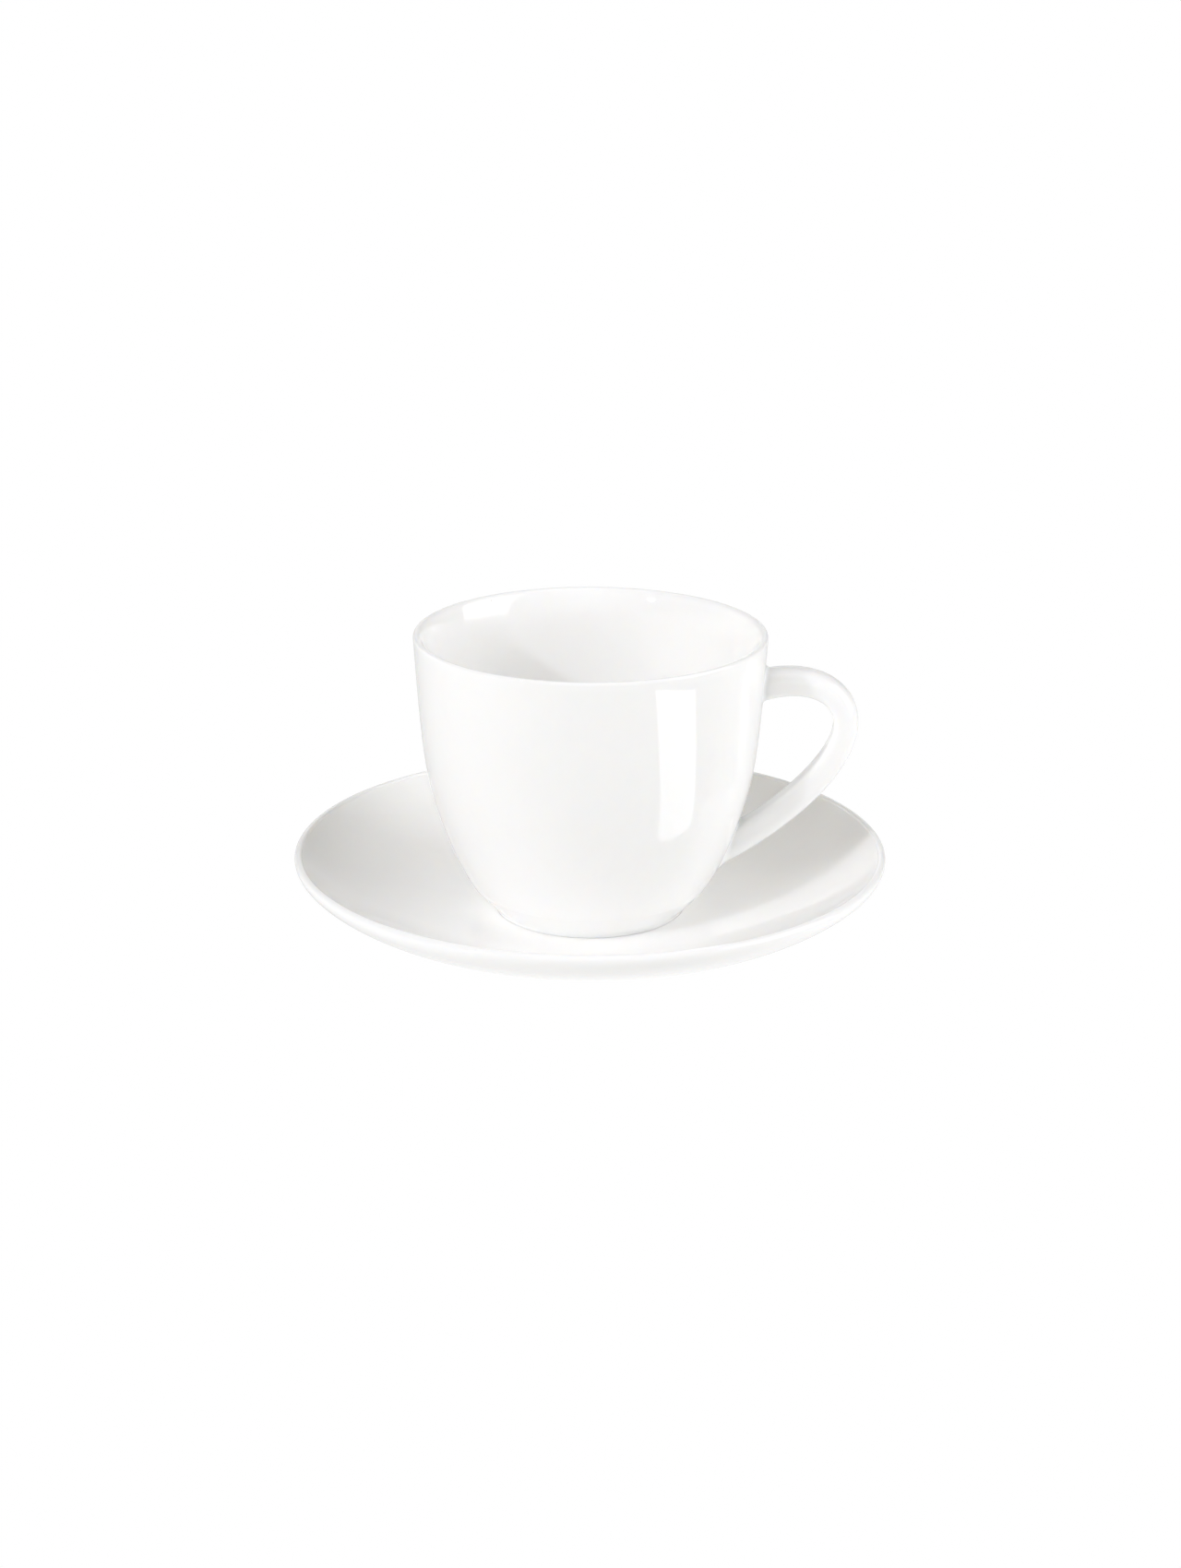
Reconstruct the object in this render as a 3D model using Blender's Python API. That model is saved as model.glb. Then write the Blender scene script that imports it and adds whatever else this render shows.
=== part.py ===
"""Cappuccino cup with its saucer, glazed porcelain.

The saucer stands on the table at z = 0 with its axis on the world Z axis, and
the cup stands in the saucer's well.  The cup's handle points along +X.  The
handle is cast on its own and luted to the bowl with slip at two roots, so the
bowl, the handle and the two slip joints are separate pieces.
"""

import math

import bmesh
import bpy
from mathutils import Vector

MM = 0.001

# ---------------------------------------------------------------- dimensions
# All in millimetres.  Cup heights count from the bottom of its foot ring.
CLEARANCE = 0.3  # room left between pieces that touch
TURN_STEPS = 60  # facets round a turned piece

SAUCER_RADIUS = 76.5
SAUCER_LIP_HEIGHT = 21.5
WELL_HEIGHT = 5.4  # top of the flat well above the table
WELL_RADIUS = 24.0
SAUCER_TOP = ((WELL_RADIUS, WELL_HEIGHT), (45.0, WELL_HEIGHT), (66.5, 13.2), (74.6, 20.9))
SAUCER_UNDER = ((76.5, 20.4), (76.5, 15.5), (56.3, 4.7), (43.0, 4.3))
SAUCER_FOOT_OUTER = 37.6  # flat bearing face of the foot ring
SAUCER_FOOT_INNER = 35.2
SAUCER_RECESS = 1.8  # hollow inside the foot ring

CUP_HEIGHT = 73.4
CUP_RIM_RADIUS = 45.0
CUP_LIFT = WELL_HEIGHT + CLEARANCE  # foot of the cup above the table
LIP_RISE = 1.0  # height of the rounded lip
CUP_WALL = (
    (CUP_RIM_RADIUS, CUP_HEIGHT - LIP_RISE),
    (42.2, 22.5),
    (41.8, 44.2),
    (37.0, 4.9),
    (23.6, 0.12),
)
LIP_THICKNESS = 2.0
WALL_THICKNESS = 3.3
BASE_THICKNESS = 5.2
CUP_FLOOR = 4.2
CUP_FOOT_OUTER = 23.9  # flat bearing face of the foot ring
CUP_FOOT_INNER = 20.8
CUP_RECESS = 1.2

# Handle: centre line in the XZ plane, (distance from the cup's axis, height).
HANDLE_TOP = (42.0, 60.1)
HANDLE_TOP_RISE = math.radians(22.5)
HANDLE_TOP_REACH = 8.0
HANDLE_BOW = (64.65, 54.6)
HANDLE_BOW_LEAN = math.radians(20.0)
HANDLE_BOW_REACH = (9.2, 12.4)
HANDLE_END = (33.6, 16.0)
HANDLE_END_FALL = math.radians(28.3)
HANDLE_END_REACH = 18.8
HANDLE_BURIED = (5.0, 7.0)  # centre line carried on inside the bowl, top and end
HANDLE_WIDTH = 9.0
HANDLE_THICKNESS = (7.7, 6.6, 6.2, 6.9, 6.9, 8.0)  # evenly spaced, top to end
HANDLE_SQUARENESS = (2.1, 4.6)  # outer face, flatter inner face; 2 is an ellipse

SLIP_THICKNESS = 0.9  # slip between a handle root and the bowl
SLIP_SPREAD = 0.8  # how far the slip stands out round the root


# ------------------------------------------------------------------- helpers
def bezier(points, count):
    """Points along a Bezier curve of any degree, both ends included."""
    degree = len(points) - 1
    curve = []
    for i in range(count):
        t = i / (count - 1)
        weights = [
            math.comb(degree, k) * t**k * (1 - t) ** (degree - k)
            for k in range(degree + 1)
        ]
        curve.append(
            tuple(sum(w * p[axis] for w, p in zip(weights, points)) for axis in (0, 1))
        )
    return curve


def directions(curve):
    """Unit tangent at each point of a plane curve."""
    found = []
    for i in range(len(curve)):
        a = curve[max(i - 1, 0)]
        b = curve[min(i + 1, len(curve) - 1)]
        length = math.dist(a, b)
        found.append(((b[0] - a[0]) / length, (b[1] - a[1]) / length))
    return found


def offset(curve, distances):
    """The curve moved to the right of its own direction."""
    return [
        (p[0] + d[1] * away, p[1] - d[0] * away)
        for p, d, away in zip(curve, directions(curve), distances)
    ]


def half_round(start, end, rise, count):
    """Points of a half ellipse from start over to end, both ends left out."""
    middle = ((start[0] + end[0]) / 2, (start[1] + end[1]) / 2)
    points = []
    for i in range(1, count):
        angle = math.pi * i / count
        across = math.cos(angle)
        points.append(
            (
                middle[0] + (start[0] - middle[0]) * across,
                middle[1] + (start[1] - middle[1]) * across + rise * math.sin(angle),
            )
        )
    return points


def porcelain(name, colour, roughness):
    material = bpy.data.materials.new(name)
    material.use_nodes = True
    shader = material.node_tree.nodes["Principled BSDF"]
    shader.inputs["Base Color"].default_value = (*colour, 1.0)
    shader.inputs["Roughness"].default_value = roughness
    shader.inputs["Metallic"].default_value = 0.0
    material.diffuse_color = (*colour, 1.0)
    return material


def add_object(name, mesh_data, lift, material):
    """Puts a finished bmesh in the scene, its origin on the turning axis."""
    bmesh.ops.recalc_face_normals(mesh_data, faces=mesh_data.faces)
    mesh = bpy.data.meshes.new(name)
    mesh_data.to_mesh(mesh)
    mesh_data.free()
    for polygon in mesh.polygons:
        polygon.use_smooth = True
    if material is not None:
        mesh.materials.append(material)
    piece = bpy.data.objects.new(name, mesh)
    piece.location = (0.0, 0.0, lift * MM)
    bpy.context.scene.collection.objects.link(piece)
    return piece


def turned(name, profile, lift, material):
    """A closed solid of revolution.  The profile starts and ends on the axis."""
    data = bmesh.new()
    first = data.verts.new((0.0, 0.0, profile[0][1] * MM))
    last = data.verts.new((0.0, 0.0, profile[-1][1] * MM))
    rings = []
    for radius, height in profile[1:-1]:
        ring = []
        for step in range(TURN_STEPS):
            angle = 2 * math.pi * step / TURN_STEPS
            ring.append(
                data.verts.new(
                    (
                        radius * math.cos(angle) * MM,
                        radius * math.sin(angle) * MM,
                        height * MM,
                    )
                )
            )
        rings.append(ring)
    for step in range(TURN_STEPS):
        after = (step + 1) % TURN_STEPS
        data.faces.new((first, rings[0][after], rings[0][step]))
        for low, high in zip(rings, rings[1:]):
            data.faces.new((low[step], low[after], high[after], high[step]))
        data.faces.new((rings[-1][step], rings[-1][after], last))
    return add_object(name, data, lift, material)


def swept(name, line, halves, lift, material):
    """A bar swept along a line in the XZ plane, with rounded-square sections."""
    around = 24
    data = bmesh.new()
    rings = []
    for point, along, (thick, wide) in zip(line, directions(line), halves):
        ring = []
        for step in range(around):
            angle = 2 * math.pi * step / around
            c, s = math.cos(angle), math.sin(angle)
            power = 2 / HANDLE_SQUARENESS[0 if c > 0 else 1]
            out = thick * math.copysign(abs(c) ** power, c)
            side = wide * math.copysign(abs(s) ** power, s)
            ring.append(
                data.verts.new(
                    Vector(
                        (
                            (point[0] - along[1] * out) * MM,
                            side * MM,
                            (point[1] + along[0] * out) * MM,
                        )
                    )
                )
            )
        rings.append(ring)
    for low, high in zip(rings, rings[1:]):
        for step in range(around):
            after = (step + 1) % around
            data.faces.new((low[step], low[after], high[after], high[step]))
    data.faces.new(rings[0])
    data.faces.new(rings[-1])
    return add_object(name, data, lift, material)


def boolean(piece, cutter, operation):
    step = piece.modifiers.new(f"{operation}_{cutter.name}", "BOOLEAN")
    step.operation = operation
    step.solver = "EXACT"
    step.object = cutter
    cutter.hide_render = True
    cutter.display_type = "WIRE"


# ------------------------------------------------------------------ profiles
def saucer_profile():
    top = bezier(SAUCER_TOP, 14)
    under = bezier(SAUCER_UNDER, 14)
    lip_rise = SAUCER_LIP_HEIGHT - (SAUCER_TOP[-1][1] + SAUCER_UNDER[0][1]) / 2
    lip = half_round(under[0], top[-1], lip_rise, 6)
    foot = [
        (0.0, SAUCER_RECESS),
        (20.0, SAUCER_RECESS),
        (SAUCER_FOOT_INNER - 1.6, SAUCER_RECESS),
        (SAUCER_FOOT_INNER - 0.6, 0.5),
        (SAUCER_FOOT_INNER, 0.0),
        (SAUCER_FOOT_OUTER, 0.0),
        (SAUCER_FOOT_OUTER + 0.7, 0.6),
        (SAUCER_FOOT_OUTER + 1.5, 2.6),
        (SAUCER_FOOT_OUTER + 2.8, 3.8),
    ]
    well = [(12.0, WELL_HEIGHT), (0.0, WELL_HEIGHT)]
    return foot + under[::-1] + lip + top[::-1] + well


def bowl_wall(count):
    """Outer wall of the cup from its foot up to the lip."""
    return bezier(CUP_WALL, count)[::-1]


def cup_profile():
    count = 19
    outer = bowl_wall(count)
    walls = []
    for i in range(count):
        up = i / (count - 1)
        swell = BASE_THICKNESS - WALL_THICKNESS
        thin = WALL_THICKNESS - LIP_THICKNESS
        walls.append(WALL_THICKNESS + swell * (1 - up) ** 5 - thin * up**24)
    inner = offset(outer, [-wall for wall in walls])
    inner[-1] = (outer[-1][0] - LIP_THICKNESS, outer[-1][1])
    lip = half_round(outer[-1], inner[-1], LIP_RISE, 8)
    start = inner[0]
    floor = bezier(
        (start, (start[0] - 3.4, CUP_FLOOR), (9.0, CUP_FLOOR), (0.0, CUP_FLOOR)), 6
    )
    foot = [
        (0.0, CUP_RECESS),
        (10.0, CUP_RECESS),
        (CUP_FOOT_INNER - 1.4, CUP_RECESS),
        (CUP_FOOT_INNER - 0.5, 0.5),
        (CUP_FOOT_INNER, 0.0),
        (CUP_FOOT_OUTER, 0.0),
    ]
    return foot + outer[1:] + lip + inner[::-1] + floor[1:]


def bowl_block(clear):
    """The bowl as one filled block, grown by a clearance, to trim roots with."""
    outer = offset(bowl_wall(19), [clear] * 19)
    outer[0] = (outer[0][0], outer[1][1] - 2.0)
    top = outer[-1]
    return (
        [(0.0, -6.0), (20.0, -6.0)]
        + outer
        + [(top[0], CUP_HEIGHT + 6.0), (0.0, CUP_HEIGHT + 6.0)]
    )


def handle_line():
    top, bow, end = HANDLE_TOP, HANDLE_BOW, HANDLE_END
    rise = (math.cos(HANDLE_TOP_RISE), math.sin(HANDLE_TOP_RISE))
    lean = (math.sin(HANDLE_BOW_LEAN), -math.cos(HANDLE_BOW_LEAN))
    fall = (-math.cos(HANDLE_END_FALL), -math.sin(HANDLE_END_FALL))

    def moved(point, way, far):
        return (point[0] + way[0] * far, point[1] + way[1] * far)

    upper = bezier(
        (
            top,
            moved(top, rise, HANDLE_TOP_REACH),
            moved(bow, lean, -HANDLE_BOW_REACH[0]),
            bow,
        ),
        17,
    )
    lower = bezier(
        (
            bow,
            moved(bow, lean, HANDLE_BOW_REACH[1]),
            moved(end, fall, -HANDLE_END_REACH),
            end,
        ),
        21,
    )
    return (
        [moved(top, rise, -HANDLE_BURIED[0])]
        + upper
        + lower[1:]
        + [moved(end, fall, HANDLE_BURIED[1])]
    )


def handle_halves(line, extra):
    """Half thickness and half width at each point of the handle's line."""
    run = [0.0]
    for a, b in zip(line, line[1:]):
        run.append(run[-1] + math.dist(a, b))
    begin, finish = run[1], run[-2]
    halves = []
    for far in run:
        place = min(max((far - begin) / (finish - begin), 0.0), 1.0)
        place *= len(HANDLE_THICKNESS) - 1
        left = min(int(place), len(HANDLE_THICKNESS) - 2)
        share = place - left
        share = share * share * (3 - 2 * share)
        thick = HANDLE_THICKNESS[left] * (1 - share) + HANDLE_THICKNESS[left + 1] * share
        halves.append((thick / 2 + extra, HANDLE_WIDTH / 2 + extra))
    return halves


# --------------------------------------------------------------------- build
def main():
    for old in list(bpy.data.objects):
        bpy.data.objects.remove(old, do_unlink=True)

    glaze_saucer = porcelain("saucer_glaze", (0.90, 0.90, 0.88), 0.10)
    glaze_bowl = porcelain("bowl_glaze", (0.91, 0.905, 0.89), 0.08)
    glaze_handle = porcelain("handle_glaze", (0.91, 0.905, 0.89), 0.09)
    glaze_slip = porcelain("slip_glaze", (0.90, 0.895, 0.88), 0.14)

    turned("saucer", saucer_profile(), 0.0, glaze_saucer)
    turned("cup_body", cup_profile(), CUP_LIFT, glaze_bowl)

    near = turned("trim_near", bowl_block(CLEARANCE), CUP_LIFT, None)
    middle = turned("trim_middle", bowl_block(CLEARANCE + SLIP_THICKNESS), CUP_LIFT, None)
    far = turned(
        "trim_far", bowl_block(2 * CLEARANCE + SLIP_THICKNESS), CUP_LIFT, None
    )

    line = handle_line()
    halves = handle_halves(line, 0.0)
    handle = swept("cup_handle", line, halves, CUP_LIFT, glaze_handle)
    boolean(handle, far, "DIFFERENCE")

    spread = handle_halves(line, SLIP_SPREAD)
    roots = (
        ("upper_slip_joint", line[:7], spread[:7]),
        ("lower_slip_joint", line[-9:], spread[-9:]),
    )
    for name, part_line, part_halves in roots:
        joint = swept(name, part_line, part_halves, CUP_LIFT, glaze_slip)
        boolean(joint, middle, "INTERSECT")
        boolean(joint, near, "DIFFERENCE")


main()
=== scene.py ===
"""Looks of the cappuccino cup and its saucer: white glazed porcelain on a pale table.

The visible surfaces are turned and swept here at a fine pitch.  They follow the
same profiles as the solids: the bowl, the saucer, the handle, and the slip that
runs out in a fillet where each end of the handle is luted to the bowl.
"""

import math

import bmesh
import bpy
import numpy as np
from mathutils import Matrix, Vector


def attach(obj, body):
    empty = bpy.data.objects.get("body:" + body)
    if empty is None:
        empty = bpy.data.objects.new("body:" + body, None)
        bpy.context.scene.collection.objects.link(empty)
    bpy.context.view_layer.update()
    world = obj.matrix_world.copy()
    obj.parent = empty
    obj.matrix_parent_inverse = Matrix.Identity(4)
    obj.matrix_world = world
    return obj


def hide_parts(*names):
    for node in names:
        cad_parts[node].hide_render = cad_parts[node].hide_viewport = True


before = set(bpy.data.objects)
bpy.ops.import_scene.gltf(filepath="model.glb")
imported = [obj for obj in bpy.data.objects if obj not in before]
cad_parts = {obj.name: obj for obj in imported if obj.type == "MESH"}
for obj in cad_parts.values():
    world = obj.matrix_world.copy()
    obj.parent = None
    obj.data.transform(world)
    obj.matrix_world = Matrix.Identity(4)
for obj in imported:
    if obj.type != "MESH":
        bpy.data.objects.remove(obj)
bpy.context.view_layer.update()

MM = 0.001

# ---------------------------------------------------------------- dimensions
# Millimetres.  Cup heights count from the bottom of its foot ring.
WELL_HEIGHT = 5.4
WELL_RADIUS = 24.0
SAUCER_LIP = 21.5
SAUCER_TOP = ((WELL_RADIUS, WELL_HEIGHT), (45.0, WELL_HEIGHT), (66.5, 13.2), (74.6, 20.9))
SAUCER_UNDER = ((76.5, 20.4), (76.5, 15.5), (56.3, 4.7), (43.0, 4.3))

CUP_LIFT = 5.7
CUP_HEIGHT = 73.4
LIP_RISE = 1.0
CUP_WALL = ((45.0, 72.4), (42.2, 22.5), (41.8, 44.2), (37.0, 4.9), (23.6, 0.12))
LIP_THICKNESS, WALL_THICKNESS, BASE_THICKNESS = 2.0, 3.3, 5.2
LIP_FLARE = 7.0  # height over which the inside opens out to the thin lip
CUP_FLOOR = 4.2

HANDLE_TOP, HANDLE_TOP_RISE, HANDLE_TOP_REACH = (42.0, 60.1), math.radians(22.5), 8.0
HANDLE_BOW, HANDLE_BOW_LEAN, HANDLE_BOW_REACH = (64.65, 54.6), math.radians(20.0), (9.2, 12.4)
HANDLE_END, HANDLE_END_FALL, HANDLE_END_REACH = (33.6, 16.0), math.radians(28.3), 18.8
HANDLE_BURIED = (5.0, 7.0)
HANDLE_WIDTH = 9.0
HANDLE_THICKNESS = (7.7, 6.6, 6.2, 6.9, 6.9, 8.0)
HANDLE_SQUARENESS = (2.1, 4.6)

# Radius of the slip's fillet on the outer, side and inner faces of each root.
UPPER_FILLET = (0.9, 1.1, 1.9)
LOWER_FILLET = (7.0, 1.7, 0.8)

TURN_STEPS = 224
AROUND = 96
ALONG = 96
FILLET_STEPS = 11


# ------------------------------------------------------------------- curves
def bezier(points, count):
    points = np.array(points, float)
    degree = len(points) - 1
    t = np.linspace(0.0, 1.0, count)[:, None]
    curve = np.zeros((count, points.shape[1]))
    for k in range(degree + 1):
        curve += math.comb(degree, k) * t**k * (1 - t) ** (degree - k) * points[k]
    return curve


def tangents(curve):
    way = np.gradient(curve, axis=0)
    return way / np.linalg.norm(way, axis=1)[:, None]


def lengths(curve):
    return np.concatenate([[0.0], np.cumsum(np.linalg.norm(np.diff(curve, axis=0), axis=1))])


def half_round(start, end, rise, count):
    """A half ellipse from start over to end, both ends left out."""
    start, end = np.array(start), np.array(end)
    angle = np.linspace(0.0, math.pi, count + 1)[1:-1, None]
    middle = (start + end) / 2
    up = np.array([[0.0, rise]])
    return middle + (start - middle) * np.cos(angle) + up * np.sin(angle)


def rounded(points, radii, count=10):
    """A polyline with its inner corners rounded."""
    points = [np.array(p, float) for p in points]
    curve = [points[0]]
    for before, corner, after, radius in zip(points, points[1:], points[2:], radii):
        a, b = before - corner, after - corner
        la, lb = np.linalg.norm(a), np.linalg.norm(b)
        turn = math.pi - math.acos(max(-1.0, min(1.0, float(a @ b) / (la * lb))))
        back = min(radius * math.tan(turn / 2), 0.46 * la, 0.46 * lb)
        curve.extend(
            bezier((corner + a / la * back, corner, corner + b / lb * back), count)
        )
    curve.append(points[-1])
    return np.array(curve)


def dense(curve, pitch):
    """The same polyline with no step longer than pitch."""
    points = [curve[0]]
    for a, b in zip(curve, curve[1:]):
        steps = max(1, int(math.ceil(np.linalg.norm(b - a) / pitch)))
        for i in range(1, steps + 1):
            points.append(a + (b - a) * i / steps)
    return np.array(points)


def thinned(curve, pitch, turn):
    """Fewer points: one per pitch of length, and more where the line bends."""
    keep = np.concatenate([[True], np.linalg.norm(np.diff(curve, axis=0), axis=1) > 1e-6])
    curve = curve[keep]
    way = np.diff(curve, axis=0)
    heading = np.unwrap(np.arctan2(way[:, 1], way[:, 0]))
    bend = np.abs(np.diff(heading))
    cost = np.linalg.norm(way, axis=1) / pitch
    cost[:-1] += bend / turn / 2
    cost[1:] += bend / turn / 2
    run = np.concatenate([[0.0], np.cumsum(cost)])
    wanted = np.linspace(0.0, run[-1], int(math.ceil(run[-1])) + 1)
    return np.stack([np.interp(wanted, run, curve[:, k]) for k in (0, 1)], axis=1)


def painted_shading(profile, reach):
    """Signed bend of a profile, spread over reach: above 0 in hollows, which the
    colour greys as painted shade, and below 0 on edges, which it lightens as a
    painted highlight."""
    run = lengths(profile)
    way = np.diff(profile, axis=0)
    heading = np.unwrap(np.arctan2(way[:, 1], way[:, 0]))
    bend = np.concatenate([[0.0], np.diff(heading), [0.0]])
    shading = np.zeros(len(profile))
    for i, here in enumerate(run):
        share = np.exp(-0.5 * ((run - here) / reach) ** 2)
        shading[i] = -(bend * share).sum()
    return np.clip(shading, -1.0, 1.0)


# ----------------------------------------------------------------- profiles
def saucer_profile():
    top = bezier(SAUCER_TOP, 240)
    under = bezier(SAUCER_UNDER, 240)
    rise = SAUCER_LIP - (SAUCER_TOP[-1][1] + SAUCER_UNDER[0][1]) / 2
    lip = half_round(under[0], top[-1], rise, 40)
    foot = rounded(
        [(0.0, 1.3), (33.6, 1.3), (34.7, 0.0), (37.9, 0.0), (39.0, 2.7), (40.6, 4.0), under[-1]],
        [1.6, 0.55, 0.6, 1.6, 2.5],
    )
    line = np.concatenate([foot, under[::-1][1:], lip, top[::-1], [(0.0, WELL_HEIGHT)]])
    return line


def bowl_wall(count):
    """Outer wall from the foot up to the lip."""
    return bezier(CUP_WALL, count)[::-1]


def cup_profile():
    count = 900
    outer = bowl_wall(count)
    up = np.linspace(0.0, 1.0, count)
    top = outer[-1][1]
    flare = np.clip((outer[:, 1] - top) / LIP_FLARE + 1.0, 0.0, 1.0)
    wall = (
        WALL_THICKNESS
        + (BASE_THICKNESS - WALL_THICKNESS) * (1 - up) ** 5
        - (WALL_THICKNESS - LIP_THICKNESS) * flare**2
    )
    way = tangents(outer)
    inner = outer + np.stack([-way[:, 1], way[:, 0]], axis=1) * wall[:, None]
    inner[:, 1] += (top - inner[-1][1]) * flare**3
    rise = tangents(inner)[-1]
    lip = bezier((outer[-1], outer[-1] + way[-1] * 1.4, inner[-1] + rise * 1.4, inner[-1]), 41)
    lip[:, 1] = top + (lip[:, 1] - top) * LIP_RISE / (lip[:, 1].max() - top)
    start = inner[0]
    floor = bezier(
        (start, (start[0] - 3.4, CUP_FLOOR), (9.0, CUP_FLOOR), (0.0, CUP_FLOOR)), 80
    )
    # The foot ring settles on the well, and the wall turns down to meet it.
    body = outer[outer[:, 0] > 25.3]
    foot = rounded(
        [(0.0, 1.2), (19.6, 1.2), (20.6, -0.26), (24.7, -0.26), body[0], body[110]],
        [1.2, 0.5, 0.15, 3.0],
    )[:-1]
    outer = body[110:]
    return np.concatenate([foot, outer, lip[1:-1], inner[::-1], floor[1:]])


WALL = bowl_wall(1200)
WALL_SLOPE = np.gradient(WALL[:, 0], WALL[:, 1])


def wall_radius(z):
    return np.interp(z, WALL[:, 1], WALL[:, 0])


def wall_normal(point):
    slope = np.interp(point[2], WALL[:, 1], WALL_SLOPE)
    flat = math.hypot(point[0], point[1])
    normal = np.array([point[0] / flat, point[1] / flat, -slope])
    return normal / np.linalg.norm(normal)


def on_wall(point):
    radius = wall_radius(point[2])
    flat = math.hypot(point[0], point[1])
    return np.array([point[0] * radius / flat, point[1] * radius / flat, point[2]])


# ------------------------------------------------------------------- handle
def handle_centre():
    """Centre line of the handle at a fine pitch, and the half thickness on it."""
    top, bow, end = (np.array(p) for p in (HANDLE_TOP, HANDLE_BOW, HANDLE_END))
    rise = np.array([math.cos(HANDLE_TOP_RISE), math.sin(HANDLE_TOP_RISE)])
    lean = np.array([math.sin(HANDLE_BOW_LEAN), -math.cos(HANDLE_BOW_LEAN)])
    fall = np.array([-math.cos(HANDLE_END_FALL), -math.sin(HANDLE_END_FALL)])
    upper = bezier(
        (top, top + rise * HANDLE_TOP_REACH, bow - lean * HANDLE_BOW_REACH[0], bow), 300
    )
    lower = bezier(
        (bow, bow + lean * HANDLE_BOW_REACH[1], end - fall * HANDLE_END_REACH, end), 400
    )
    line = np.concatenate(
        [
            [top - rise * (HANDLE_BURIED[0] + 4.0)],
            upper,
            lower[1:],
            [end + fall * (HANDLE_BURIED[1] + 4.0)],
        ]
    )
    begin = HANDLE_BURIED[0] + 4.0
    finish = lengths(line)[-2]
    line = dense(line, 0.1)
    run = lengths(line)
    even = np.arange(0.0, run[-1], 0.1)
    line = np.stack([np.interp(even, run, line[:, k]) for k in (0, 1)], axis=1)
    place = np.clip((even - begin) / (finish - begin), 0.0, 1.0)
    thick = np.interp(place, np.linspace(0, 1, len(HANDLE_THICKNESS)), HANDLE_THICKNESS)
    # A drawn-out, fair line: curvature and thickness change slowly along it.
    line = faired(line, 14)
    thick = faired(thick[:, None], 55)[:, 0]
    return line, thick / 2


def faired(values, spread):
    reach = spread * 3
    share = np.exp(-0.5 * (np.arange(-reach, reach + 1) / spread) ** 2)
    share /= share.sum()
    slope_a, slope_b = values[1] - values[0], values[-1] - values[-2]
    before = values[0] - slope_a * np.arange(reach, 0, -1)[:, None]
    after = values[-1] + slope_b * np.arange(1, reach + 1)[:, None]
    padded = np.concatenate([before, values, after])
    return np.stack(
        [np.convolve(padded[:, k], share, "valid") for k in range(values.shape[1])], axis=1
    )


def section():
    """Points round the handle's section, in shares of its half thickness and width."""
    angle = np.linspace(0.0, 2 * math.pi, 4001)
    c, s = np.cos(angle), np.sin(angle)
    power = np.where(c > 0, 2 / HANDLE_SQUARENESS[0], 2 / HANDLE_SQUARENESS[1])
    loop = np.stack(
        [np.sign(c) * np.abs(c) ** power, np.sign(s) * np.abs(s) ** power], axis=1
    )
    run = lengths(loop * np.array([3.5, HANDLE_WIDTH / 2]))
    wanted = np.linspace(0.0, run[-1], AROUND + 1)[:-1]
    return np.stack([np.interp(wanted, run, loop[:, k]) for k in (0, 1)], axis=1)


class Sweep:
    """The handle before its roots are blended: a point for any line and any run."""

    def __init__(self):
        self.line, self.thick = handle_centre()
        self.way = tangents(self.line)
        self.loop = section()
        self.pitch = 0.1

    def at(self, j, run):
        place = run / self.pitch
        i = int(min(max(place, 0), len(self.line) - 2))
        share = place - i
        centre = self.line[i] * (1 - share) + self.line[i + 1] * share
        way = self.way[i] * (1 - share) + self.way[i + 1] * share
        way = way / np.linalg.norm(way)
        thick = self.thick[i] * (1 - share) + self.thick[i + 1] * share
        out, side = self.loop[j][0] * thick, self.loop[j][1] * HANDLE_WIDTH / 2
        return np.array([centre[0] - way[1] * out, side, centre[1] + way[0] * out])

    def along(self, j, run):
        step = self.at(j, run + 0.05) - self.at(j, run - 0.05)
        return step / np.linalg.norm(step)

    def outward(self, j, run):
        around = self.at((j + 1) % AROUND, run) - self.at(j - 1, run)
        normal = np.cross(self.along(j, run), around)
        normal /= np.linalg.norm(normal)
        centre = self.at(0, run) * 0.5 + self.at(AROUND // 2, run) * 0.5
        return normal if normal @ (self.at(j, run) - centre) > 0 else -normal

    def meets(self, j, inside, outside):
        """Run at which line j passes through the bowl's wall."""
        for _ in range(50):
            middle = (inside + outside) / 2
            point = self.at(j, middle)
            if math.hypot(point[0], point[1]) < wall_radius(point[2]):
                inside = middle
            else:
                outside = middle
        return (inside + outside) / 2


def fillet_radius(radii, share):
    """Blend of the fillet's radius from the outer face (share 1) to the inner (-1)."""
    outer, side, inner = radii
    rest = 1 - abs(share)
    rest = rest * rest * (3 - 2 * rest)
    return side * rest + (outer if share > 0 else inner) * (1 - rest)


def root_lines(sweep, radii, inside, outside):
    """For each line round the handle: the run where its fillet begins, and the
    fillet's points from there out onto the bowl's wall."""
    sign = 1.0 if outside > inside else -1.0
    starts, fillets, ends = [], [], []
    for j in range(AROUND):
        hit = sweep.meets(j, inside, outside)
        point = sweep.at(j, hit)
        away = sweep.along(j, hit) * sign
        wall = wall_normal(point)
        out = sweep.outward(j, hit)
        spread = out - wall * (out @ wall)
        spread /= np.linalg.norm(spread)
        angle = math.acos(max(-1.0, min(1.0, float(away @ spread))))
        back = fillet_radius(radii, sweep.loop[j][0]) / math.tan(angle / 2)
        start = hit + sign * back
        first = sweep.at(j, start)
        last = on_wall(point + spread * back)
        wall = wall_normal(last)
        spread = spread - wall * (spread @ wall)
        spread /= np.linalg.norm(spread)
        bow = 0.62 * back
        curve = bezier(
            (first, first - sweep.along(j, start) * sign * bow, last - spread * bow, last),
            FILLET_STEPS,
        )
        starts.append(start)
        fillets.append(curve)
        ends.append((spread, wall))
    return starts, np.array(fillets), ends


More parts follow.
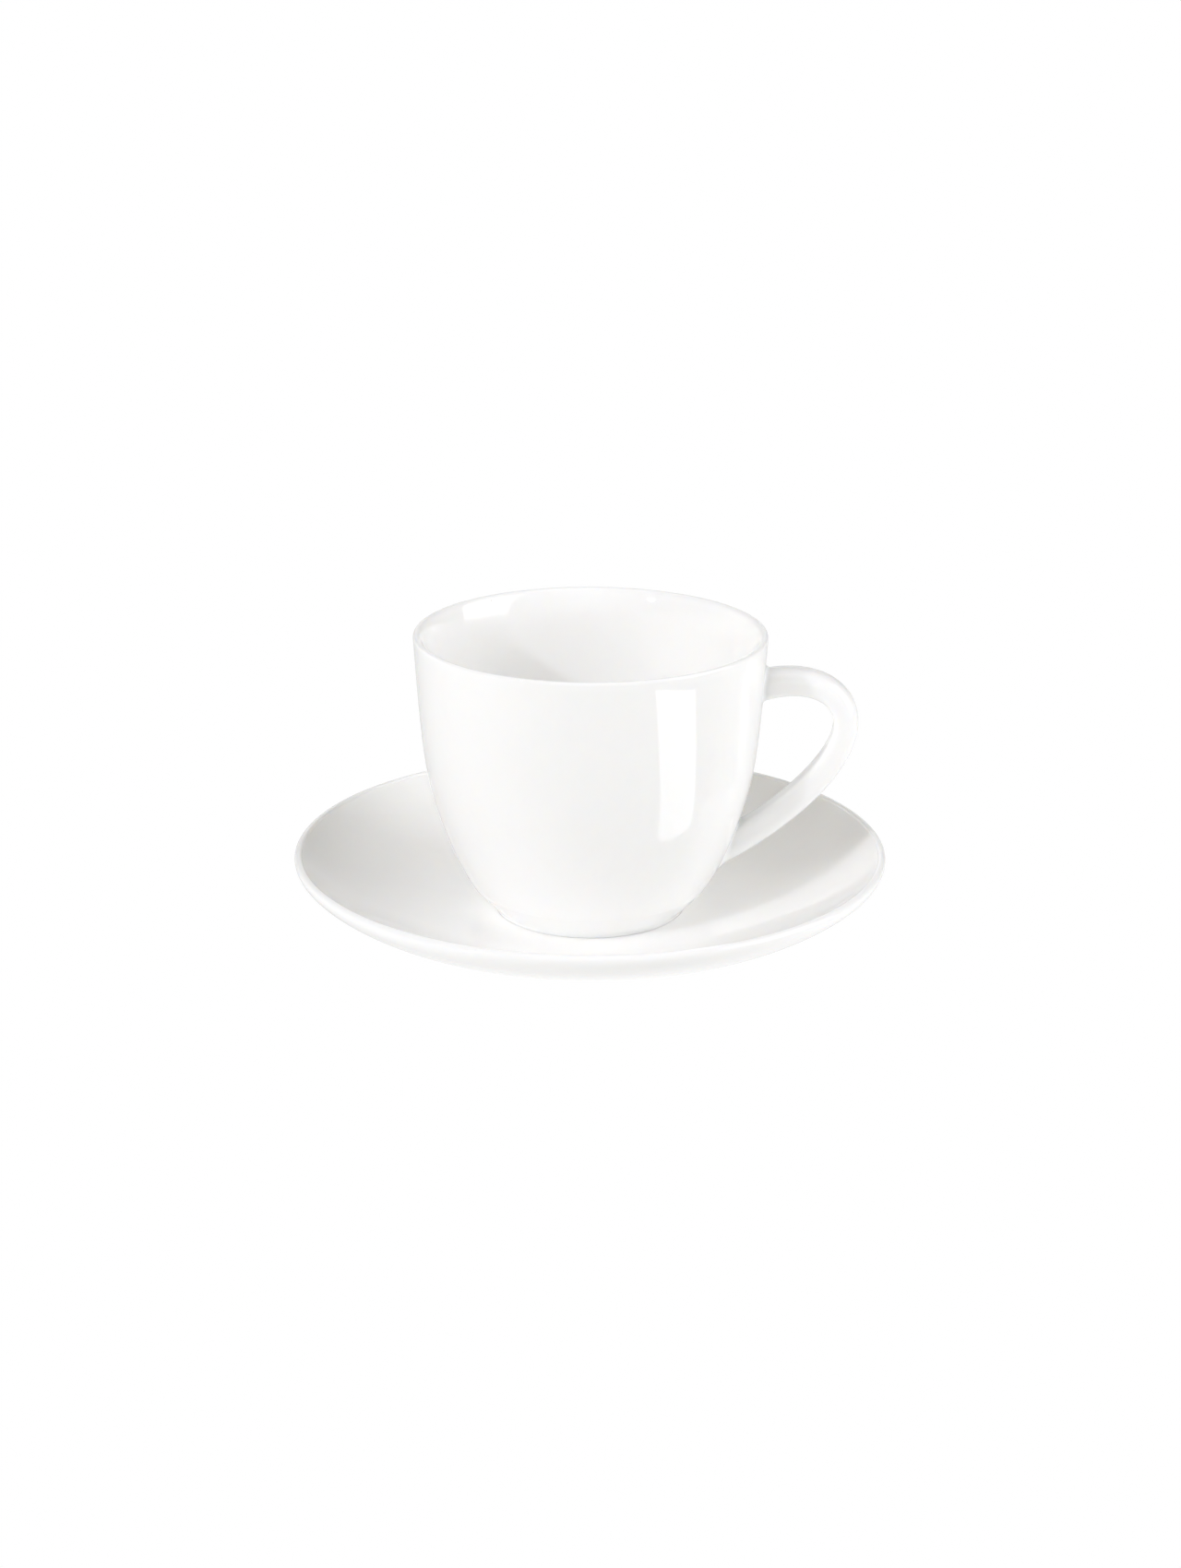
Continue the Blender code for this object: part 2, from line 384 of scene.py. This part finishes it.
def handle_mesh():
    """Rings from the upper root to the lower one, as points and normals, and the
    ring numbers at which the handle itself begins and ends."""
    sweep = Sweep()
    total = len(sweep.line) * sweep.pitch
    top_starts, top_fillet, top_ends = root_lines(sweep, UPPER_FILLET, 1.0, 18.0)
    end_starts, end_fillet, end_ends = root_lines(
        sweep, LOWER_FILLET, total - 1.0, total - 34.0
    )

    def skirt(fillet, ends):
        rows = []
        for lift, far in ((0.42, 1.0), (0.015, 0.12)):
            rows.append(
                [
                    curve[-1] + spread * far - wall * lift
                    for curve, (spread, wall) in zip(fillet, ends)
                ]
            )
        return rows

    rings = skirt(top_fillet, top_ends)
    rings += [top_fillet[:, k] for k in range(FILLET_STEPS - 1, -1, -1)]
    first = len(rings) - 1
    for k in range(1, ALONG):
        share = k / ALONG
        rings.append(
            [
                sweep.at(j, top_starts[j] * (1 - share) + end_starts[j] * share)
                for j in range(AROUND)
            ]
        )
    last = len(rings)
    rings += [end_fillet[:, k] for k in range(FILLET_STEPS)]
    rings += skirt(end_fillet, end_ends)[::-1]
    return np.array([np.array(ring) for ring in rings]), first, last


# ------------------------------------------------------------------- meshes
def finished(name, points, faces, shading, normals=None):
    """A smooth mesh object in the row's frame, points in millimetres."""
    mesh = bpy.data.meshes.new(name)
    mesh.from_pydata([tuple(p * MM) for p in points], [], faces)
    mesh.update()
    mesh.validate()
    mesh.shade_smooth()
    # Painted shading per point: greyer in hollows, paler on edges.
    layer = mesh.attributes.new("painted_shading", "FLOAT", "POINT")
    layer.data.foreach_set("value", np.asarray(shading, np.float32))
    if normals is not None:
        mesh.normals_split_custom_set_from_vertices([tuple(n) for n in normals])
    piece = bpy.data.objects.new(name, mesh)
    bpy.context.scene.collection.objects.link(piece)
    return piece


def turned(name, profile, lift, reach):
    profile = thinned(dense(profile, 0.35), 1.6, math.radians(7.0))
    # Painted shade in hollows and painted highlight on edges, from the profile's bend.
    shading = painted_shading(profile, reach)
    angle = np.linspace(0.0, 2 * math.pi, TURN_STEPS + 1)[:-1]
    points = [np.array([0.0, 0.0, profile[0][1] + lift])]
    shade = [shading[0]]
    for (radius, height), value in zip(profile[1:-1], shading[1:-1]):
        for a in angle:
            points.append(np.array([radius * math.cos(a), radius * math.sin(a), height + lift]))
            shade.append(value)
    points.append(np.array([0.0, 0.0, profile[-1][1] + lift]))
    shade.append(shading[-1])
    rows = len(profile) - 2
    faces = []
    for step in range(TURN_STEPS):
        after = (step + 1) % TURN_STEPS
        faces.append((0, 1 + after, 1 + step))
        for row in range(rows - 1):
            low, high = 1 + row * TURN_STEPS, 1 + (row + 1) * TURN_STEPS
            faces.append((low + step, low + after, high + after, high + step))
        top = 1 + (rows - 1) * TURN_STEPS
        faces.append((top + step, top + after, len(points) - 1))
    return finished(name, points, faces, shade)


def handle_pieces():
    """The handle and its two slip fillets, cut from one smooth surface."""
    rings, first, last = handle_mesh()
    rings = rings + np.array([0.0, 0.0, CUP_LIFT])
    count = len(rings)

    def quads(low, high, shift):
        found = []
        for row in range(low, high):
            for j in range(AROUND):
                k = (j + 1) % AROUND
                a, b = (row - shift) * AROUND, (row + 1 - shift) * AROUND
                found.append((a + j, b + j, b + k, a + k))
        return found

    # Normals of the whole surface, so that no seam shows where the pieces meet.
    data = bmesh.new()
    verts = [data.verts.new(p) for p in rings.reshape(-1, 3)]
    for face in quads(0, count - 1, 0):
        data.faces.new([verts[i] for i in face])
    data.normal_update()
    normals = np.array([v.normal for v in verts]).reshape(count, AROUND, 3)
    data.free()
    middle = rings.mean(axis=1, keepdims=True)
    outward = ((rings - middle) * normals).sum() > 0
    if not outward:
        normals = -normals
    for row in (0, 1, 2, count - 3, count - 2, count - 1):
        for j in range(AROUND):
            normals[row, j] = wall_normal(rings[row, j] - np.array([0, 0, CUP_LIFT]))

    # Painted shade in the fillets, most of all in the tight inner corner.
    shading = np.zeros((count, AROUND))
    for row in range(count):
        near = max(0.0, 1 - abs(row - first / 2) / first, 1 - abs(row - (count + last) / 2) / (count - last))
        shading[row] = near
    pieces = []
    for name, low, high in (
        ("upper_slip_fillet", 0, first),
        ("handle_glaze", first, last),
        ("lower_slip_fillet", last, count - 1),
    ):
        faces = quads(low, high, low)
        if not outward:
            faces = [face[::-1] for face in faces]
        part = slice(low, high + 1)
        pieces.append(
            finished(
                name,
                rings[part].reshape(-1, 3),
                faces,
                shading[part].reshape(-1),
                normals[part].reshape(-1, 3),
            )
        )
    return pieces


# ---------------------------------------------------------------- materials
class Nodes:
    """Short hand for building a node tree."""

    def __init__(self, tree):
        self.tree = tree
        tree.nodes.clear()

    def add(self, kind, **settings):
        node = self.tree.nodes.new(kind)
        for key, value in settings.items():
            setattr(node, key, value)
        return node

    def link(self, source, target):
        self.tree.links.new(source, target)

    def put(self, socket, value):
        if isinstance(value, bpy.types.NodeSocket):
            self.link(value, socket)
        else:
            socket.default_value = value

    def math(self, operation, a, b=None, c=None, clamp=False):
        node = self.add("ShaderNodeMath", operation=operation, use_clamp=clamp)
        for socket, value in zip(node.inputs, (a, b, c)):
            if value is not None:
                self.put(socket, value)
        return node.outputs[0]

    def vector(self, operation, a, b=None):
        node = self.add("ShaderNodeVectorMath", operation=operation)
        for socket, value in zip(node.inputs, (a, b)):
            if value is not None:
                self.put(socket, value)
        length = operation in ("DOT_PRODUCT", "DISTANCE", "LENGTH")
        return node.outputs["Value" if length else "Vector"]

    def scaled(self, vector, share):
        node = self.add("ShaderNodeVectorMath", operation="SCALE")
        self.put(node.inputs[0], vector)
        self.put(node.inputs["Scale"], share)
        return node.outputs["Vector"]

    def noise(self, where, scale, detail=2.0, rough=0.5):
        node = self.add("ShaderNodeTexNoise")
        self.put(node.inputs["Vector"], where)
        node.inputs["Scale"].default_value = scale
        node.inputs["Detail"].default_value = detail
        node.inputs["Roughness"].default_value = rough
        return node.outputs["Fac"]

    def range(self, value, low, high, to_low, to_high, smooth=True):
        node = self.add("ShaderNodeMapRange")
        node.interpolation_type = "SMOOTHSTEP" if smooth else "LINEAR"
        self.put(node.inputs[0], value)
        for socket, number in zip(node.inputs[1:5], (low, high, to_low, to_high)):
            self.put(socket, number)
        return node.outputs[0]

    def mix(self, share, a, b):
        node = self.add("ShaderNodeMix", data_type="RGBA")
        self.put(node.inputs[0], share)
        for socket, value in ((node.inputs[6], a), (node.inputs[7], b)):
            self.put(socket, (*value, 1.0) if isinstance(value, tuple) else value)
        return node.outputs[2]


def glazed(name, seed, foot_height):
    """White porcelain under a clear glaze.

    The glaze lies in slow waves with a fine orange peel and holds a few pinholes
    and iron specks.  Its colour carries painted shade, greenish grey in hollows
    and fillets, and a painted highlight, paler, on edges.  Below foot_height the
    foot ring is wiped bare and shows the dry, sandy body.
    """
    material = bpy.data.materials.new(name)
    material.use_nodes = True
    n = Nodes(material.node_tree)
    place = n.add("ShaderNodeTexCoord").outputs["Object"]
    moved = n.add("ShaderNodeVectorMath", operation="ADD")
    n.link(place, moved.inputs[0])
    moved.inputs[1].default_value = (seed, seed * 0.7, -seed * 0.4)
    where = moved.outputs[0]
    # Painted shading from the bend of the surface: painted shade in hollows, painted highlight on edges.
    shading = n.add("ShaderNodeAttribute", attribute_name="painted_shading").outputs["Fac"]

    # Colour: body white, drifting by a hair, with painted shade, a greenish grey, in hollows and fillets,
    # and a painted highlight on edges.
    drift = n.noise(where, 34.0, 3.0, 0.55)
    mottle = n.noise(where, 240.0, 2.0, 0.6)
    colour = n.mix(n.range(drift, 0.3, 0.7, 0.0, 1.0), (0.940, 0.939, 0.930), (0.928, 0.927, 0.916))
    colour = n.mix(n.range(mottle, 0.45, 0.75, 0.0, 0.35), colour, (0.915, 0.915, 0.902))
    colour = n.mix(n.range(shading, 0.05, 0.9, 0.0, 0.6), colour, (0.895, 0.905, 0.888))
    colour = n.mix(n.range(shading, -0.9, -0.2, 0.5, 0.0), colour, (0.950, 0.944, 0.930))

    # Iron specks, a few on each piece, each a fraction of a millimetre.
    cells = n.add("ShaderNodeTexVoronoi", feature="F1")
    n.link(where, cells.inputs["Vector"])
    cells.inputs["Scale"].default_value = 62.0
    tone = n.add("ShaderNodeSeparateColor")
    n.link(cells.outputs["Color"], tone.inputs[0])
    chosen = n.math("GREATER_THAN", tone.outputs[0], 0.72)
    size = n.range(tone.outputs[1], 0.0, 1.0, 0.006, 0.017, smooth=False)
    dot = n.math("SUBTRACT", size, cells.outputs["Distance"])
    speck = n.math("MULTIPLY", n.range(dot, 0.0, 0.006, 0.0, 0.55), chosen)
    colour = n.mix(speck, colour, (0.42, 0.36, 0.27))

    # Bare foot ring.
    apart = n.add("ShaderNodeSeparateXYZ")
    n.link(place, apart.inputs[0])
    ragged = n.noise(where, 420.0, 3.0, 0.6)
    line = n.math("MULTIPLY_ADD", ragged, 0.0001, foot_height * MM)
    bare = n.range(n.math("SUBTRACT", line, apart.outputs["Z"]), -0.00004, 0.00008, 0.0, 1.0)
    grit = n.noise(where, 2600.0, 3.0, 0.7)
    clay = n.mix(n.range(grit, 0.35, 0.7, 0.0, 1.0), (0.83, 0.80, 0.745), (0.70, 0.66, 0.60))
    colour = n.mix(bare, colour, clay)

    # Gloss: nearly mirror-smooth, a little duller in drifts, dry on the foot ring.
    haze = n.noise(where, 95.0, 4.0, 0.6)
    rough = n.range(haze, 0.3, 0.75, 0.028, 0.062)
    rough = n.math("MULTIPLY_ADD", n.range(mottle, 0.4, 0.8, 0.0, 1.0), 0.012, rough)
    rough = n.math("MAXIMUM", rough, n.math("MULTIPLY", bare, 0.62))

    # Relief.
    wave = n.noise(where, 46.0, 1.0, 0.4)
    peel = n.noise(where, 520.0, 1.0, 0.5)
    pits = n.add("ShaderNodeTexVoronoi", feature="F1")
    n.link(where, pits.inputs["Vector"])
    pits.inputs["Scale"].default_value = 88.0
    pit_tone = n.add("ShaderNodeSeparateColor")
    n.link(pits.outputs["Color"], pit_tone.inputs[0])
    pit = n.math(
        "MULTIPLY",
        n.range(pits.outputs["Distance"], 0.0, 0.022, 1.0, 0.0),
        n.math("GREATER_THAN", pit_tone.outputs[2], 0.8),
    )
    normal = None
    for height, distance in (
        (wave, 0.000016),
        (peel, 0.0000009),
        (n.math("MULTIPLY", pit, -1.0), 0.00003),
        (n.math("MULTIPLY", grit, bare), 0.00006),
    ):
        bump = n.add("ShaderNodeBump")
        bump.inputs["Strength"].default_value = 1.0
        bump.inputs["Distance"].default_value = distance
        n.link(height, bump.inputs["Height"])
        if normal is not None:
            n.link(normal, bump.inputs["Normal"])
        normal = bump.outputs["Normal"]

    shader = n.add("ShaderNodeBsdfPrincipled")
    n.link(colour, shader.inputs["Base Color"])
    n.link(rough, shader.inputs["Roughness"])
    n.link(normal, shader.inputs["Normal"])
    shader.inputs["IOR"].default_value = 1.52
    shader.inputs["Subsurface Weight"].default_value = 0.42
    shader.inputs["Subsurface Radius"].default_value = (1.0, 0.86, 0.68)
    shader.inputs["Subsurface Scale"].default_value = 0.0024
    output = n.add("ShaderNodeOutputMaterial")
    n.link(shader.outputs[0], output.inputs["Surface"])
    return material


# ------------------------------------------------------------------- object
saucer = turned("saucer_porcelain", saucer_profile(), 0.0, 1.6)
bowl = turned("bowl_porcelain", cup_profile(), CUP_LIFT, 1.2)
upper_slip, handle, lower_slip = handle_pieces()

saucer.data.materials.append(glazed("saucer_glaze_white", 0.31, 0.2))
bowl_glaze = glazed("bowl_glaze_white", 1.17, CUP_LIFT - 0.28)
for piece in (bowl, handle, upper_slip, lower_slip):
    piece.data.materials.append(bowl_glaze)

for piece, body, node, slot in (
    (saucer, "saucer", "saucer", "saucer_glaze"),
    (bowl, "cup", "cup_body", "bowl_glaze"),
    (handle, "cup", "cup_handle", "handle_glaze"),
    (upper_slip, "cup", "upper_slip_joint", "slip_glaze"),
    (lower_slip, "cup", "lower_slip_joint", "slip_glaze"),
):
    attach(piece, body)
    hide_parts(node)


# ------------------------------------------------------------------- camera
CAMERA_TURN = math.radians(4.0)  # the camera stands a little to the handle's side
CAMERA_OUT, CAMERA_UP = 0.688226, 0.274103
CAMERA_PITCH, CAMERA_YAW, CAMERA_ROLL = (math.radians(a) for a in (18.9103, 0.0057, 0.178))


def set_camera():
    data = bpy.data.cameras.new("camera")
    data.sensor_fit = "HORIZONTAL"
    data.sensor_width = 36.0
    data.lens = 3054.137 / 1280 * 36.0
    data.clip_start, data.clip_end = 0.02, 60.0
    piece = bpy.data.objects.new("camera", data)
    bpy.context.scene.collection.objects.link(piece)
    p, y = CAMERA_PITCH, CAMERA_YAW
    ahead = Vector((math.sin(y) * math.cos(p), math.cos(y) * math.cos(p), -math.sin(p)))
    right = ahead.cross(Vector((0, 0, 1))).normalized()
    up = right.cross(ahead)
    c, s = math.cos(CAMERA_ROLL), math.sin(CAMERA_ROLL)
    right, up = right * c + up * s, up * c - right * s
    basis = Matrix((right, up, -ahead)).transposed()
    basis = Matrix.Rotation(CAMERA_TURN, 3, "Z") @ basis
    spot = Matrix.Rotation(CAMERA_TURN, 3, "Z") @ Vector((0.0, -CAMERA_OUT, CAMERA_UP))
    piece.matrix_world = Matrix.Translation(spot) @ basis.to_4x4()
    bpy.context.scene.camera = piece


# -------------------------------------------------------------------- stage
# A white sweep, a small key at the left front, and soft boxes round about.
# Azimuths count from the camera's side, to the right, in degrees; lengths in metres.
LAMPS = (  # name, azimuth, elevation, distance, width and height, power, colour
    ("key", -45.0, 25.1, 1.6, (0.09, 0.09), 6.9, (0.98, 0.99, 1.04)),
    ("soft_left", -40.0, 43.0, 2.0, (1.20, 1.20), 16.5, (1.00, 1.00, 1.035)),
    ("low_left", -60.0, 14.0, 2.0, (0.80, 0.70), 2.15, (0.98, 0.99, 1.08)),
    ("side_left", -85.0, 30.0, 2.0, (0.90, 0.90), 4.1, (1.06, 1.02, 0.90)),
    ("soft_right", 81.0, 25.5, 2.0, (1.50, 1.50), 25.9, (0.995, 0.995, 1.025)),
    ("front_right", 58.0, 8.0, 2.0, (0.50, 0.40), 1.6, (1.02, 1.00, 0.97)),
    ("right_back", 128.0, 34.0, 2.0, (0.80, 0.70), 3.3, (1.03, 1.03, 0.90)),
    ("back_left", -145.0, 14.0, 2.0, (1.20, 0.70), 9.6, (1.01, 1.00, 0.97)),
    ("back_top", 178.0, 60.0, 2.0, (0.90, 0.80), 0.9, (1.06, 1.01, 0.86)),
    ("front_low", 0.0, 14.0, 2.0, (0.80, 0.70), 3.6, (1.04, 1.00, 0.90)),
)
MIRRORED = ("key", "soft_right")  # lamps the gloss shows; the rest only fill
SKY = (0.009, 0.008, 0.008)
# What the gloss mirrors all round: its own glow, then azimuth, elevation, tightness, glow.
ROOM_GLOW = 0.06
ROOM = (
    (0.0, 10.0, 8.0, 0.88),
    (120.0, 9.0, 17.0, 0.36),
    (180.0, 9.0, 17.0, 0.90),
    (-120.0, 9.0, 17.0, 1.10),
    (-150.0, 44.0, 16.0, 0.40),
    (0.0, 85.0, 7.0, 2.15),
)
TABLE_GLOW = (0.75, 0.75, 0.73)
TABLE_SIDE = (95.0, (0.53, 0.53, 0.56))  # brighter towards this azimuth
TABLE_SHADES = (  # dark spots: place, spread, depth
    ((0.060, -0.290), 0.150, (0.44, 0.42, 0.45)),
    ((0.000, 0.260), 0.110, (0.87, 0.87, 0.84)),
)
TABLE_UNDER = (0.100, (0.34, 0.34, 0.38))  # light carried in under the saucer
TABLE_BACK = ((0.224, 0.975), 0.071, (0.44, 0.44, 0.42))  # brighter behind this line
# The table as the gloss mirrors it: its own glow, then spots of place, spread, glow.
TABLE_MIRROR = 0.42
TABLE_SPOTS = (((0.0, -0.030), 0.070, 0.64), ((0.0, 0.180), 0.130, 0.34))
# A narrow card beside the cup, mirrored in its front at the right: its corners.
CARD = (
    (0.0244, -0.0517, 0.0714),
    (0.0378, -0.0409, 0.0701),
    (0.0350, -0.0334, 0.0285),
    (0.0250, -0.0417, 0.0260),
)
CARD_GLOW = (3.1, 3.1, 3.2)


def toward(azimuth, elevation):
    """Unit vector from the cup."""
    turn, rise = math.radians(azimuth) + CAMERA_TURN, math.radians(elevation)
    return Vector(
        (math.sin(turn) * math.cos(rise), -math.cos(turn) * math.cos(rise), math.sin(rise))
    )


def in_view(x, y, z=0.0):
    """A point given as right of the axis, behind it as the camera sees it, and up."""
    return Matrix.Rotation(CAMERA_TURN, 3, "Z") @ Vector((x, y, z))


def bell(n, value):
    """exp(-value)."""
    return n.math("EXPONENT", n.math("MULTIPLY", value, -1.0))


def staged(name, data, seen):
    """A stage object, either seen by the camera alone or by all other rays."""
    mesh = bpy.data.meshes.new(name)
    data.to_mesh(mesh)
    data.free()
    piece = bpy.data.objects.new(name, mesh)
    bpy.context.scene.collection.objects.link(piece)
    piece.visible_camera = seen
    for kind in ("diffuse", "glossy", "transmission", "shadow", "volume_scatter"):
        setattr(piece, "visible_" + kind, not seen)
    material = bpy.data.materials.new(name)
    material.use_nodes = True
    mesh.materials.append(material)
    return piece, Nodes(material.node_tree)


def gloss_only(piece):
    for kind in ("diffuse", "transmission", "shadow", "volume_scatter"):
        setattr(piece, "visible_" + kind, False)


def glowing(n, colour):
    shader = n.add("ShaderNodeEmission")
    n.put(shader.inputs["Color"], colour)
    out = n.add("ShaderNodeOutputMaterial")
    n.link(shader.outputs[0], out.inputs["Surface"])


def set_sweep():
    """The white table and backdrop that the camera sees, and the light they return."""
    data = bmesh.new()
    bmesh.ops.create_circle(data, cap_ends=True, radius=9.0, segments=96)
    table, n = staged("table", data, True)
    glowing(n, (1.0, 1.0, 1.0, 1.0))

    data = bmesh.new()
    bmesh.ops.create_uvsphere(data, u_segments=48, v_segments=24, radius=8.9)
    backdrop, n = staged("backdrop", data, True)
    glowing(n, (1.0, 1.0, 1.0, 1.0))

    data = bmesh.new()
    bmesh.ops.create_circle(data, cap_ends=True, radius=9.0, segments=96)
    bounce, n = staged("table_bounce", data, False)
    place = n.add("ShaderNodeTexCoord").outputs["Object"]
    flat = n.vector("NORMALIZE", place)
    azimuth, side = TABLE_SIDE
    facing = n.math("MAXIMUM", n.vector("DOT_PRODUCT", flat, toward(azimuth, 0.0)), 0.0)
    glow = n.vector("ADD", n.scaled(side, n.math("MULTIPLY", facing, facing)), TABLE_GLOW)
    for spot, spread, shade in TABLE_SHADES:
        far = n.math("DIVIDE", n.vector("DISTANCE", place, in_view(*spot)), spread)
        dark = bell(n, n.math("MULTIPLY", far, far))
        glow = n.vector("SUBTRACT", glow, n.scaled(shade, dark))
    reach, under = TABLE_UNDER
    far = n.math("POWER", n.math("DIVIDE", n.vector("LENGTH", place), reach), 8.0)
    glow = n.vector("ADD", glow, n.scaled(under, bell(n, far)))
    line, start, back = TABLE_BACK
    behind = n.vector("DOT_PRODUCT", place, in_view(*line))
    behind = n.range(behind, start - 0.003, start + 0.003, 0.0, 1.0)
    glow = n.vector("ADD", glow, n.scaled(back, behind))
    glow = n.vector("MAXIMUM", glow, (0.0, 0.0, 0.0))
    glowing(n, glow)
    bounce.visible_glossy = False

    data = bmesh.new()
    bmesh.ops.create_circle(data, cap_ends=True, radius=4.9, segments=96)
    mirrored, n = staged("table_mirrored", data, False)
    gloss_only(mirrored)
    place = n.add("ShaderNodeTexCoord").outputs["Object"]
    glow = TABLE_MIRROR
    for spot, spread, share in TABLE_SPOTS:
        far = n.math("DIVIDE", n.vector("DISTANCE", place, in_view(*spot)), spread)
        glow = n.math("MULTIPLY_ADD", bell(n, n.math("MULTIPLY", far, far)), share, glow)
    glowing(n, n.scaled((1.0, 1.0, 0.99), glow))


def set_lamps():
    for name, azimuth, elevation, distance, size, power, colour in LAMPS:
        light = bpy.data.lights.new(name, "AREA")
        light.shape = "RECTANGLE"
        light.size, light.size_y = size
        light.energy = power
        light.color = colour
        piece = bpy.data.objects.new(name, light)
        bpy.context.scene.collection.objects.link(piece)
        way = toward(azimuth, elevation)
        piece.location = Vector((0.0, 0.0, 0.04)) + way * distance
        piece.rotation_euler = way.to_track_quat("Z", "Y").to_euler()
        piece.visible_camera = False
        piece.visible_glossy = name in MIRRORED


def set_room():
    """Pale walls and ceiling, for the gloss alone."""
    data = bmesh.new()
    bmesh.ops.create_uvsphere(data, u_segments=64, v_segments=32, radius=5.0)
    room, n = staged("room", data, False)
    gloss_only(room)
    way = n.vector("NORMALIZE", n.add("ShaderNodeTexCoord").outputs["Object"])
    glow = ROOM_GLOW
    for azimuth, elevation, tight, share in ROOM:
        off = n.math("SUBTRACT", 1.0, n.vector("DOT_PRODUCT", way, toward(azimuth, elevation)))
        glow = n.math("MULTIPLY_ADD", bell(n, n.math("MULTIPLY", off, tight)), share, glow)
    glowing(n, n.scaled((1.0, 1.0, 0.99), glow))


def set_card():
    data = bmesh.new()
    data.faces.new([data.verts.new(in_view(*corner)) for corner in CARD])
    card, n = staged("card", data, False)
    gloss_only(card)
    glowing(n, (*CARD_GLOW, 1.0))


def set_world():
    """A dim room beyond the lamps."""
    world = bpy.data.worlds.new("studio")
    bpy.context.scene.world = world
    world.use_nodes = True
    n = Nodes(world.node_tree)
    back = n.add("ShaderNodeBackground")
    n.put(back.inputs["Color"], (*SKY, 1.0))
    out = n.add("ShaderNodeOutputWorld")
    n.link(back.outputs[0], out.inputs["Surface"])


set_camera()
set_world()
set_sweep()
set_lamps()
set_room()
set_card()
view = bpy.context.scene.view_settings
view.view_transform = "Standard"
view.gamma = 1.3
# White on white: light bounces many times between the cup and the saucer.
bpy.context.scene.cycles.max_bounces = 16
bpy.context.scene.cycles.diffuse_bounces = 9
bpy.context.scene.cycles.glossy_bounces = 6
